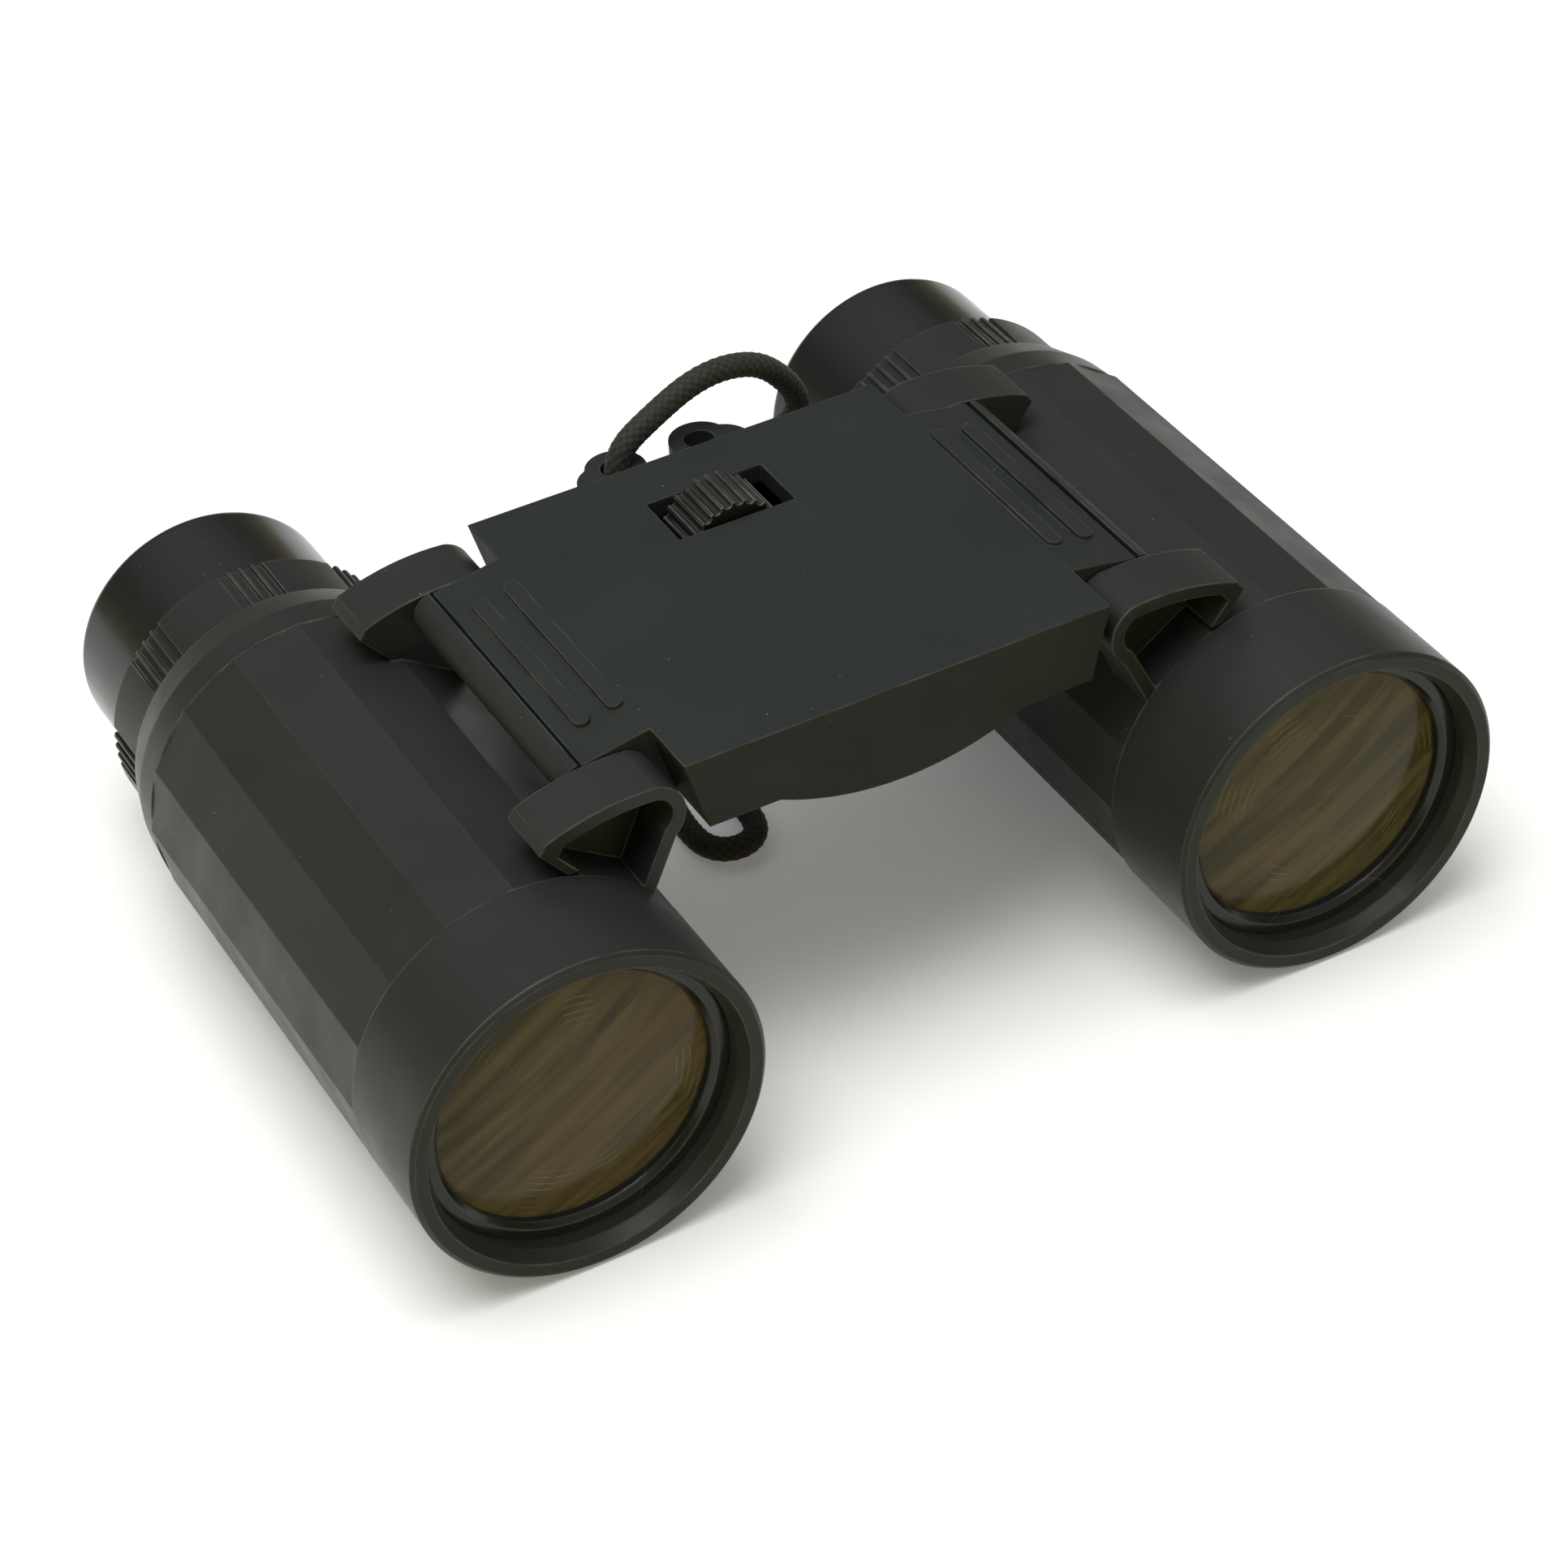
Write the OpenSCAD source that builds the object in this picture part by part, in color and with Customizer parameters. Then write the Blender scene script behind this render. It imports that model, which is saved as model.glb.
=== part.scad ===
// Folding toy binoculars: two faceted barrels on a flat bridge, with a braided neck cord.
// Millimetres, +Z up, objectives toward -Y, standing on z = 0 with the origin in the middle.

/* [Barrels] */
// Length of the faceted tube of a barrel
barrel_len = 45.5; // [42:0.5:55]
// Outer radius of the objective housings, and of the facet corners
housing_r = 17.1; // [16.7:0.1:17.8]
// Number of flats round a barrel
facet_count = 16; // [14:2:20]
// Wall of the faceted tube at a facet corner
shell_wall = 3.1; // [2.6:0.1:3.6]
// Length of the smooth objective housing
cap_len = 12; // [10:0.5:14]
// Wall of the objective housing over the tube's spigot
cap_wall = 1.85; // [1.4:0.05:2.2]

/* [Objective] */
// Distance of the front lens's edge inside the housing
lens_in = 3.1; // [2.8:0.1:3.7]
// How far the ring laps over the lens, which leaves an opening of 26 mm
lens_lap = 0.8; // [0.6:0.1:1.2]
// Thickness of the front lens at its edge
lens_edge = 1.8; // [1.2:0.1:2.4]
// Radius of curvature of the lens faces
lens_curve_r = 80; // [60:1:140]
// Depth of the lens ring behind the rim
recess = 2.7; // [2:0.1:3.5]
// Thickness of the ring in front of the lens
retainer_t = 1.4; // [1.4:0.1:2]
// Width of the ring's seat beyond the lens
retainer_lip = 0.75; // [0.5:0.05:0.9]
// Width of the flat rim
rim_w = 1.2; // [0.8:0.1:1.2]
// Chamfer of the outer rim edge
rim_chamfer = 0.4; // [0.2:0.1:0.6]
// Thickness of the shoulder behind the lens
shoulder_t = 0.8; // [0.6:0.1:1]

/* [Eyepieces] */
// Length of the plain rear collar
collar_len = 7; // [6:0.5:8]
// How much narrower the collar is at its rear end
collar_taper = 1.2; // [0.6:0.1:1.8]
// Length of the ribbed focus ring
ring_len = 7.4; // [6:0.1:9]
// Wall of the ribbed focus ring over the snap lip
ring_wall = 1.5; // [1.1:0.1:1.9]
// Groups of grip grooves round the ring
grip_groups = 8; // [4:1:8]
// Grooves in one group
grip_grooves = 4; // [3:1:6]
// Width of a grip groove
grip_w = 0.92; // [0.7:0.02:1.1]
// Width of the thin ridge between two grooves
grip_land = 0.3; // [0.24:0.02:0.6]
// Depth of a grip groove
grip_depth = 0.5; // [0.3:0.1:0.7]
// Length of the eyecup
cup_len = 13.1; // [11:0.1:15]
// Wall of the eyecup round the sliding tube
cup_wall = 1.2; // [1.2:0.1:2]
// Rounding of the eyecup's rear edge
cup_round = 1.2; // [0.6:0.1:1.2]
// Depth of the funnel in the eyecup
cup_depth = 4.1; // [4.1:0.1:5]
// Thickness of the web that stops the tube in the eyecup
cup_web = 1; // [0.8:0.1:1.6]
// Wall of the collar round the sliding tube
collar_wall = 1.9; // [1.8:0.05:2.1]
// Length of the collar's spigot inside the barrel
spigot_len = 4; // [3:0.5:6]
// Length of the sliding tube inside the collar
tube_engage = 11.5; // [9:0.5:12.5]
// Wall of the neck under the focus ring
neck_wall = 0.95; // [0.8:0.05:1]
// Height of the snap lip that keeps the ring on its neck
neck_lip = 0.45; // [0.3:0.05:0.6]
// Wall of the sliding tube round the eye lens
tube_wall = 1.7; // [1.4:0.1:2.2]
// Edge thickness of the eye lens
eye_lens_edge = 2.2; // [1.8:0.1:2.6]
// How far the tube's seat laps over the eye lens
eye_lap = 0.9; // [0.7:0.1:1.4]
// Depth of the hollow in each face of the eye lens
eye_sag = 0.5; // [0.3:0.05:0.7]
// Thickness of the ring behind the eye lens
eye_ring_t = 1.5; // [1:0.1:2]

/* [Bridge] */
// Width of the plate between the notches
bridge_w = 43; // [40:0.5:48]
// Distance of the plate's rear edge in front of the collars
bridge_back = 2.5; // [0.5:0.1:5]
// How far the side wings reach beyond the plate
wing_w = 6.7; // [6:0.1:8.5]
// How much the top of a wing falls toward its outer edge
wing_fall = 1.2; // [0.8:0.1:1.3]
// Depth of the notches for the ears, along the barrels
notch_len = 6.4; // [5.6:0.1:7.2]
// Thickness of the plate
plate_t = 2; // [1.6:0.1:2.2]
// Thickness of the bridge's walls
wall_t = 1.6; // [1.2:0.1:2]
// Height of the bridge's sides
side_h = 7.45; // [7:0.05:8]
// How much the sides lean in at the bottom
side_lean = 2; // [1.5:0.1:2.5]
// How much deeper the belly is in the middle
belly_drop = 2.8; // [2:0.1:3]
// Half width of the round belly
belly_half = 12.5; // [11:0.1:12.5]
// Thickness of the bottom cover
floor_t = 1.6; // [1.2:0.1:2]
// Distance of the inner ribs outside the notch edge
rib_out = 0.9; // [0.8:0.05:1.4]
// Distance between the two ribs of a wing
rib_step = 3.35; // [2.6:0.05:4]
// Width of a rib on the wings
rib_w = 1.6; // [1:0.1:2]
// Height of a rib
rib_h = 0.5; // [0.3:0.1:0.8]
// Length of a rib
rib_len = 21.9; // [16:0.1:26]

/* [Hinges] */
// Gap between an ear and the side of the plate
ear_gap = 0.1; // [0.1:0.05:0.6]
// Depth of the hinge axis below the plate's top
hinge_depth = 4.35; // [4:0.05:4.6]
// Distance of a hinge axis inside the outer radius of its barrel
arm_in = 3.5; // [2.1:0.1:4.1]
// Height of a hinge axis above the top of its barrel
hinge_over = 1.7; // [1.5:0.1:2.9]
// Radius of the hinge pins
pin_r = 1.25; // [1:0.05:1.4]
// Outer radius of an ear round its hinge
ear_r = 3.3; // [3:0.1:3.3]
// Depth below the hinge at which an ear runs into the barrel
ear_drop = 8.3; // [7.5:0.1:9]
// Thickness of an ear's sheet
ear_t = 1.3; // [1:0.1:1.4]
// Thickness of the web that carries the pin
ear_web = 1.6; // [1.2:0.1:2.4]
// How far the ear's tip lies inside the optical axis
ear_tip_in = 2.3; // [1.5:0.1:4]
// Height of the ear's tip above the barrel
ear_tip_h = 1.6; // [1.2:0.1:2.8]
// Radius of an ear's rounded back
ear_back_r = 23; // [20:0.5:26]
// Distance of the back's highest line outside the hinge
ear_back_out = 1.4; // [1:0.1:2]
// Height of the thin outer end above the ear's tip
ear_lift = 0.7; // [0.4:0.1:1]
// Reach of the hollow below the outer end
ear_under_in = 4; // [3:0.1:5]
// Slot between a wing and its hinge knuckle
wing_slot = 0.2; // [0.1:0.05:0.3]
// Radius of the rounded rail outside each wing
rail_r = 2.2; // [1.8:0.1:2.4]

/* [Wheel] */
// Radius of the thumb wheel
wheel_r = 5; // [4.6:0.1:5.2]
// Width of the thumb wheel
wheel_w = 5.6; // [4.5:0.1:6]
// How far the wheel stands out of the plate
wheel_rise = 1.5; // [1.2:0.1:1.8]
// Distance of the wheel's middle in front of the plate's rear edge
wheel_in = 9.5; // [9.5:0.1:13.5]
// Grooves round the wheel
wheel_grooves = 26; // [18:2:32]
// Radius of a groove on the wheel
wheel_groove_r = 0.42; // [0.3:0.02:0.46]
// Width of the slot across the plate
slot_w = 12.1; // [11.5:0.1:14]
// Gap between the wheel and the slot's ends
slot_gap = 0.58; // [0.4:0.02:1]
// Radius of the wheel's axle
axle_r = 1; // [0.8:0.05:1.2]
// Half width of an axle post
post_half = 2.4; // [2:0.1:3]
// Thickness of an axle post
post_t = 1.8; // [1.4:0.1:2.4]

/* [Screws] */
// Distance of the screws inside the plate's side edges
screw_in = 7; // [6.5:0.1:8.5]
// Radius of a screw's shank
screw_r = 1; // [0.8:0.05:1.1]
// Radius of a screw's head
screw_head_r = 1.8; // [1.6:0.05:1.9]
// Height of a screw's head
screw_head_h = 0.75; // [0.5:0.05:0.9]
// Radius of the screw bosses
boss_r = 2; // [1.8:0.05:2.1]

/* [Strap lugs] */
// Distance between the holes of the two lugs
lug_spacing = 9; // [8:0.5:12]
// How far the pair of lugs sits to the right of the middle
lug_shift = 0.5; // [0:0.1:1]
// How far a lug leans outward on its way to the bridge
lug_lean = 1.6; // [1:0.1:2]
// Outer radius of a lug
lug_r = 3; // [2.8:0.1:3.4]
// Distance of a lug's hole behind the bridge
lug_reach = 4.5; // [4:0.1:5]
// Radius of a lug's hole
lug_hole_r = 1.5; // [1.4:0.05:1.7]
// Thickness of a lug
lug_t = 1.9; // [1.6:0.1:2.2]
// Depth of a lug's top below the plate's top
lug_drop = 2.75; // [2.5:0.05:3]

/* [Neck cord] */
// Diameter of the braided cord
cord_d = 2.5; // [2:0.1:2.5]
// Radius of the knot under the lug
knot_r = 2.3; // [2:0.1:2.5]
// Outer radius of the coil's winding, to the cord's middle
coil_r = 10.8; // [10:0.1:12]
// Gap between the turns and between the layers
coil_gap = 0.5; // [0.45:0.05:0.6]
// Turns from the coil's start to its end
coil_turns = 3.5; // [2.5:1:3.5]

/* [Hidden] */
$fn = 96;

// Clearances
run_gap = 0.05;
fit_gap = 0.05;
side_gap = 0.2;
skin = 1;

// Colours
plastic = [0.2, 0.21, 0.2];
gloss = [0.22, 0.225, 0.22];
glass = [0.29, 0.28, 0.2, 0.7];
steel = [0.7, 0.7, 0.68];
braid = [0.17, 0.18, 0.15];

// Places along the barrels
overall_len = cap_len + barrel_len + collar_len + ring_len + cup_len;
y_front = -overall_len / 2;
y_cap = y_front + cap_len;
y_collar = y_cap + barrel_len;
y_ring = y_collar + collar_len;
y_cup = y_ring + ring_len;
y_end = y_cup + cup_len;

// Places of the bridge and its hinges
barrel_z = housing_r;
arm_out = housing_r - arm_in;
arm_drop = housing_r + hinge_over;
hinge_z = barrel_z + arm_drop;
plate_z = hinge_z + hinge_depth;
half_w = bridge_w / 2;
hinge_x = half_w + ear_gap + ear_r;
barrel_x = hinge_x + arm_out;
y_bridge = y_cap;
y_bridge_end = y_collar - bridge_back;
y_wing = y_bridge + notch_len;
y_wing_end = y_bridge_end - notch_len;
wing_x = half_w + wing_w;
under_z = plate_z - plate_t;
side_z = plate_z - side_h;
belly_r = (belly_half * belly_half + belly_drop * belly_drop) / (2 * belly_drop);
belly_z = side_z - belly_drop + belly_r;
floor_z = side_z + floor_t;
floor_half = half_w - side_lean - wall_t - fit_gap;

// Places of the wheel
wheel_y = y_bridge_end - wheel_in;
wheel_z = plate_z + wheel_rise - wheel_r;
slot_len = wheel_w + 2 * slot_gap;

// Radii that fit into each other
bore_r = housing_r - shell_wall;
spigot_r = housing_r - cap_wall - fit_gap;
lens_r = housing_r - lens_in;
retainer_r = lens_r + retainer_lip;
aperture_r = lens_r - lens_lap;
lens_y = y_front + recess + retainer_t;
shoulder_y = lens_y + lens_edge;
spigot_y = shoulder_y + shoulder_t + 2 * fit_gap;
guide_r = bore_r - fit_gap - collar_wall;
tube_r = guide_r - run_gap;
eye_lens_r = tube_r - tube_wall;
eye_stop_r = eye_lens_r - eye_lap;
cup_r = tube_r + cup_wall;
neck_r = guide_r + neck_wall;
ring_r = neck_r + neck_lip + run_gap + ring_wall;
lip_len = 0.7;
lip_y = y_cup - 0.9;
tube_y = y_cup - tube_engage;
web_y = y_end - cup_depth;
tube_end = web_y - cup_web;
eye_ring_end = tube_end - 0.4;
eye_lens_y = eye_ring_end - eye_ring_t - eye_lens_edge;

// Places of the lugs and the knot
tied_x = lug_shift - lug_spacing / 2;
lug_y = y_bridge_end + lug_reach;
lug_z = plate_z - lug_drop;
knot_h = 4;
knot_z = lug_z - lug_t - 0.1;

function unit(v) = v / norm(v);
function tangent_angle(p, c, r, turn) =
  atan2(p[1] - c[1], p[0] - c[0]) + turn * acos(r / norm(p - c));
function ray(a) = [cos(a), sin(a)];
function side_x(z) = half_w - side_lean * (plate_z - z) / side_h;

// Ear outline on the right barrel, in x and z
hinge = [hinge_x, hinge_z];
ear_tip = [barrel_x - ear_tip_in, barrel_z + housing_r + ear_tip_h];
ear_root = [hinge_x + 0.6, hinge_z - ear_drop];
ear_inset = 0.3;
ear_trim = 0.03;
ear_back_drop = ear_back_r - ear_r + ear_trim;
ear_back = [
  hinge_x + ear_back_out,
  hinge_z - sqrt(ear_back_drop * ear_back_drop - ear_back_out * ear_back_out)];
low_normal = ray(tangent_angle(ear_root, hinge, ear_r, -1));

// Middle of the cord where it lies on the table, and the coil's place there
lie = cord_d / 2 + 0.05;
near_run = y_end + 5.6;
far_run = y_end + 10.2;
coil_mid = [barrel_x + 13.9, y_end + 8.4 + coil_r];
coil_pitch = cord_d + coil_gap;
coil_left = coil_mid[0] - coil_r;
coil_right = coil_mid[0] + coil_r;
coil_join = coil_mid[1] - cord_d;

// A place near the tied lug, and one on the way down to the table
function near_lug(dx, dy, dz) = [tied_x + dx, lug_y + dy, lug_z + dz];
function falling(x, dy, share) = [x, lug_y + dy, lie + share * (lug_z - lie)];

// Route of the cord from the left lug over the arch to the coil
arch_route = [
  [tied_x, lug_y, knot_z], near_lug(0, 0, -0.5),
  near_lug(0.4, 0.2, 1.1), near_lug(1.7, 0.6, 2.1), near_lug(3.8, 1, 3), near_lug(6.2, 1.5, 3.9),
  near_lug(9, 2, 4.8), near_lug(12, 2.5, 5.1), near_lug(15, 3, 4.6), near_lug(17.8, 3.5, 3.3),
  near_lug(20.2, 4, 0.8), near_lug(21.8, 4.4, -1.7), near_lug(22.3, 4.9, -4.1),
  near_lug(21.3, 5.6, -6.1), near_lug(19, 6.4, -7.2), near_lug(16, 7.4, -7.9),
  near_lug(12.5, 8.6, -9.6),
  falling(4.8, 10, 0.64), falling(1.8, 11.3, 0.503), falling(0.3, 12.3, 0.323),
  falling(-0.5, 13.2, 0.157), falling(-1, 14.6, 0.044),
  [-1.2, y_end - 7.9, lie + 0.1], [-1.4, y_end - 2.5, lie], [-0.8, y_end + 3.5, lie],
  [1.4, y_end + 7.4, lie], [5.2, y_end + 9.6, lie], [10, far_run, lie], [18, far_run, lie],
  [27, far_run, lie], [coil_left - 5, far_run, lie], [coil_left - 3.09, far_run + 0.38, lie],
  [coil_left - 1.46, far_run + 1.46, lie], [coil_left - 0.38, far_run + 3.09, lie],
  [coil_left, far_run + 5, lie], [coil_left, coil_join, lie]];

// Route of the cord from the knot under the bridge and back to the coil
return_route = [
  [tied_x, lug_y, knot_z - knot_h], [tied_x, lug_y, knot_z - knot_h - 1.6], near_lug(0.4, 1.2, -9.7),
  falling(-2.6, 3.3, 0.644), falling(-1.6, 5.2, 0.53), falling(-1, 6.2, 0.378),
  falling(-1, 6.6, 0.227), falling(-1.4, 6.2, 0.097), falling(-2.2, 4, 0.019),
  [-3.2, lug_y, lie], [-4.2, lug_y - 6, lie], [-4.75, 7, lie], [-4.8, 3.7, lie],
  [-4.21, 1.88, lie], [-2.66, 0.75, lie], [-0.74, 0.75, lie], [0.81, 1.88, lie], [1.4, 3.7, lie],
  [1.5, 7, lie], [1.9, lug_y - 6, lie], [2.4, lug_y + 1, lie], [2.7, lug_y + 9, lie],
  [2.9, y_end - 8.5, lie], [3.1, near_run - 6, lie], [3.56, near_run - 3.7, lie],
  [4.86, near_run - 1.76, lie], [6.8, near_run - 0.46, lie], [9.1, near_run, lie],
  [18, near_run, lie], [30, near_run, lie], [42, near_run, lie],
  [coil_right - 5, near_run, lie + 0.1], [coil_right - 3.09, near_run + 0.38, lie + 0.4],
  [coil_right - 1.46, near_run + 1.46, lie + 0.9], [coil_right - 0.38, near_run + 3.09, lie + 1.5],
  [coil_right, near_run + 5, lie + 2.1], [coil_right, near_run + 8, lie + 2.85],
  [coil_right, coil_join, lie + coil_pitch]];

// Winding of the coil: it spirals in, climbs one layer and spirals out again
coil_steps = 24;
coil_sides = 6;
cord_sides = 8;
coil_count = round(coil_turns * coil_steps);
function coil_radius(t) = coil_r - coil_pitch * min(t, coil_turns - t);
function coil_climb(t) = max(0, min(1, (t - coil_turns / 2) / 0.5 + 0.5));
function coil_point(t) = [
  coil_mid[0] - coil_radius(t) * cos(360 * t),
  coil_mid[1] + coil_radius(t) * sin(360 * t),
  lie + coil_pitch * coil_climb(t)];
coil_turning = [for (i = [0 : coil_count]) coil_point(i / coil_steps)];
coil_route = concat(
  [coil_turning[0] - [0, cord_d, 0]], coil_turning, [coil_turning[coil_count] - [0, cord_d, 0]]);
least_gap = min([
  for (i = [0 : coil_count], j = [i + coil_steps / 2 : 1 : coil_count])
    norm(coil_turning[i] - coil_turning[j])]) - cord_d;
echo(least_gap_of_the_coil = least_gap);

// A tube swept along a route, with rings that do not twist
function tangent(p, i) = unit(p[min(i + 1, len(p) - 1)] - p[max(i - 1, 0)]);
function across(t, u) = unit(u - (u * t) * t);
function frames(p, i, u) =
  i == len(p) ? [] :
  let (t = tangent(p, i), v = across(t, u))
    concat([[v, cross(t, v)]], frames(p, i + 1, v));
function ring_points(c, f, r, n) =
  [for (k = [0 : n - 1]) c + r * (cos(360 * k / n) * f[0] + sin(360 * k / n) * f[1])];

module tube(route, r, n, start) {
  count = len(route);
  turning = frames(route, 0, start);
  points = [for (i = [0 : count - 1]) each ring_points(route[i], turning[i], r, n)];
  sides = [
    for (i = [0 : count - 2], k = [0 : n - 1])
      let (a = i * n + k, b = i * n + (k + 1) % n) each [[a, b, b + n], [a, b + n, a + n]]];
  near_end = [for (k = [1 : n - 2]) [0, k + 1, k]];
  last = (count - 1) * n;
  far_end = [for (k = [1 : n - 2]) [last, last + k, last + k + 1]];
  polyhedron(points, [for (f = concat(sides, near_end, far_end)) [f[2], f[1], f[0]]]);
}

module on_side(side) {
  if (side < 0) mirror([1, 0, 0]) children();
  else children();
}

// Turns local z into +Y, from a point on an axis along the barrels
module along_y(x, y, z) translate([x, y, z]) rotate([-90, 0, 0]) children();

// Turned part on the right optical axis, from points of radius and y
module turned(points) along_y(barrel_x, 0, barrel_z) rotate_extrude() polygon(points);

// Prism between two y places, from points of x and z
module prism_y(y0, y1, points)
  translate([0, y1, 0]) rotate([90, 0, 0]) linear_extrude(height = y1 - y0) polygon(points);

module box(x0, x1, y0, y1, z0, z1)
  translate([x0, y0, z0]) cube([x1 - x0, y1 - y0, z1 - z0]);

module rod_y(x, z, y0, y1, r) along_y(x, y0, z) cylinder(r = r, h = y1 - y0);

// Bridge section with leaning sides and a round belly
module bridge_form(y0, y1) {
  prism_y(y0, y1, [
    [-half_w, plate_z], [-side_x(side_z), side_z], [side_x(side_z), side_z], [half_w, plate_z]]);
  intersection() {
    rod_y(0, belly_z, y0, y1, belly_r);
    box(-belly_half - skin, belly_half + skin, y0, y1, belly_z - belly_r - skin, side_z + skin / 2);
  }
}

module bridge_cavity() {
  low = belly_z - belly_r - skin;
  prism_y(y_bridge + wall_t, y_bridge_end - wall_t, [
    [-side_x(under_z) + wall_t, under_z], [-side_x(low) + wall_t, low],
    [side_x(low) - wall_t, low], [side_x(under_z) - wall_t, under_z]]);
}

// Rib at a distance outside the notch edge, square to the falling top of the wing
rib_sink = 0.4;
module rib(out) {
  y0 = (y_wing + y_wing_end) / 2 - rib_len / 2;
  translate([half_w, 0, plate_z]) rotate([0, atan(wing_fall / wing_w), 0]) {
    box(out - rib_w / 2, out + rib_w / 2, y0 + rib_w / 2, y0 + rib_len - rib_w / 2, -rib_sink, rib_h);
    for (y = [y0 + rib_w / 2, y0 + rib_len - rib_w / 2])
      translate([out, y, -rib_sink]) cylinder(r = rib_w / 2, h = rib_sink + rib_h);
  }
}

// Both wings in one plate, flat below
module wings() prism_y(y_wing, y_wing_end, [
  [-wing_x, under_z], [-wing_x, plate_z - wing_fall], [-half_w, plate_z],
  [half_w, plate_z], [wing_x, plate_z - wing_fall], [wing_x, under_z]]);

module lug(side) {
  x = lug_shift + side * lug_spacing / 2;
  root_x = x + side * lug_lean;
  root_half = lug_r - 0.2;
  difference() {
    union() {
      translate([x, lug_y, lug_z - lug_t]) cylinder(r = lug_r, h = lug_t);
      translate([root_x, lug_y - lug_lean, lug_z - lug_t]) cylinder(r = lug_r, h = lug_t);
      box(root_x - root_half, root_x + root_half, y_bridge_end - wall_t / 2, lug_y - lug_lean,
        lug_z - lug_t, lug_z);
    }
    translate([x, lug_y, lug_z - lug_t - skin]) cylinder(r = lug_hole_r, h = lug_t + 2 * skin);
  }
}

// Middle of each screw, in the notched ends of the bridge
screw_x = half_w - screw_in;
screw_ys = [
  (y_bridge + wall_t + y_wing) / 2,
  (y_wing_end + y_bridge_end - wall_t) / 2];
module at_screws() {
  for (x = [-screw_x, screw_x], y = screw_ys) translate([x, y, 0]) children();
}

module bridge_top_cover() color(plastic) {
  difference() {
    union() {
      bridge_form(y_bridge, y_bridge_end);
      wings();
      for (side = [-1, 1], k = [0, 1]) on_side(side) rib(rib_out + k * rib_step);
      for (side = [-1, 1]) lug(side);
    }
    bridge_cavity();
    for (side = [-1, 1]) on_side(side)
      box(floor_half - skin, half_w + skin, y_wing, y_wing_end, side_z - skin, under_z);
    box(-slot_w / 2, slot_w / 2, wheel_y - slot_len / 2, wheel_y + slot_len / 2,
      under_z - skin, plate_z + skin);
  }
  at_screws() translate([0, 0, floor_z]) difference() {
    cylinder(r = boss_r, h = under_z - floor_z + skin / 2);
    translate([0, 0, -skin]) cylinder(r = screw_r + fit_gap, h = under_z - floor_z + skin - 0.5);
  }
}

// Hinge knuckle under the right wing, with the rounded rail outside it
rail_x = wing_x;
rail_z = under_z - 1.2;
module knuckle() {
  y0 = y_wing + fit_gap;
  y1 = y_wing_end - fit_gap;
  difference() {
    union() {
      prism_y(y0, y1, [
        [floor_half - skin / 2, under_z - fit_gap], [rail_x, under_z - fit_gap],
        [rail_x + rail_r, rail_z], [rail_x + rail_r - 0.7, rail_z - rail_r * 0.75],
        [hinge_x + 1.6, side_z], [floor_half - skin / 2, side_z]]);
      rod_y(rail_x, rail_z, y0, y1, rail_r);
    }
    box(half_w, wing_x + side_gap + wing_slot, y0 - skin, y1 + skin, under_z - fit_gap, plate_z + skin);
    rod_y(hinge_x, hinge_z, y0 - skin, y1 + skin, pin_r + fit_gap / 2);
  }
}

// Post that carries one end of the wheel's axle
module post(y0) {
  difference() {
    box(-post_half, post_half, y0, y0 + post_t, side_z - belly_drop + floor_t / 2,
      under_z - fit_gap);
    rod_y(0, wheel_z, y0 - skin, y0 + post_t + skin, axle_r + fit_gap / 2);
  }
}
post_ys = [wheel_y - wheel_w / 2 - side_gap - post_t, wheel_y + wheel_w / 2 + side_gap];

module bridge_bottom_cover() color(plastic) {
  y0 = y_bridge + wall_t + fit_gap;
  y1 = y_bridge_end - wall_t - fit_gap;
  difference() {
    union() {
      difference() {
        intersection() {
          bridge_form(y0, y1);
          box(-floor_half, floor_half, y0, y1, belly_z - belly_r - skin, floor_z);
        }
        rod_y(0, belly_z, y0 - skin, y1 + skin, belly_r - floor_t);
      }
      for (side = [-1, 1]) on_side(side) knuckle();
    }
    rod_y(0, wheel_z, wheel_y - slot_len / 2, wheel_y + slot_len / 2, wheel_r + 2 * side_gap);
    at_screws() {
      translate([0, 0, side_z - skin]) cylinder(r = screw_r + 3 * fit_gap, h = floor_t + 2 * skin);
      translate([0, 0, side_z - skin])
        cylinder(r = screw_head_r + 2 * fit_gap, h = skin + screw_head_h);
    }
  }
  for (y = post_ys) post(y);
}

module bridge_screws() color(steel) at_screws() {
  translate([0, 0, side_z]) cylinder(r = screw_head_r, h = screw_head_h);
  translate([0, 0, side_z]) cylinder(r = screw_r, h = under_z - side_z - 0.8);
}

module focus_wheel() color(gloss) {
  y0 = wheel_y - wheel_w / 2;
  difference() {
    rod_y(0, wheel_z, y0, y0 + wheel_w, wheel_r);
    rod_y(0, wheel_z, y0 - skin, y0 + wheel_w + skin, axle_r + run_gap);
    for (k = [0 : wheel_grooves - 1]) {
      a = 360 * k / wheel_grooves;
      rod_y(wheel_r * cos(a), wheel_z + wheel_r * sin(a), y0 - skin, y0 + wheel_w + skin,
        wheel_groove_r, $fn = 24);
    }
  }
}

module wheel_axle() color(steel) rod_y(0, wheel_z, post_ys[0], post_ys[1] + post_t, axle_r);

// Ends of the ears next to the wings, and the hinge pin between their webs
ear_front_y = y_wing - side_gap;
ear_rear_y = y_wing_end + side_gap;
module hinge_pin(side) color(steel) on_side(side)
  rod_y(hinge_x, hinge_z, ear_front_y - ear_web, ear_rear_y + ear_web, pin_r);

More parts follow.
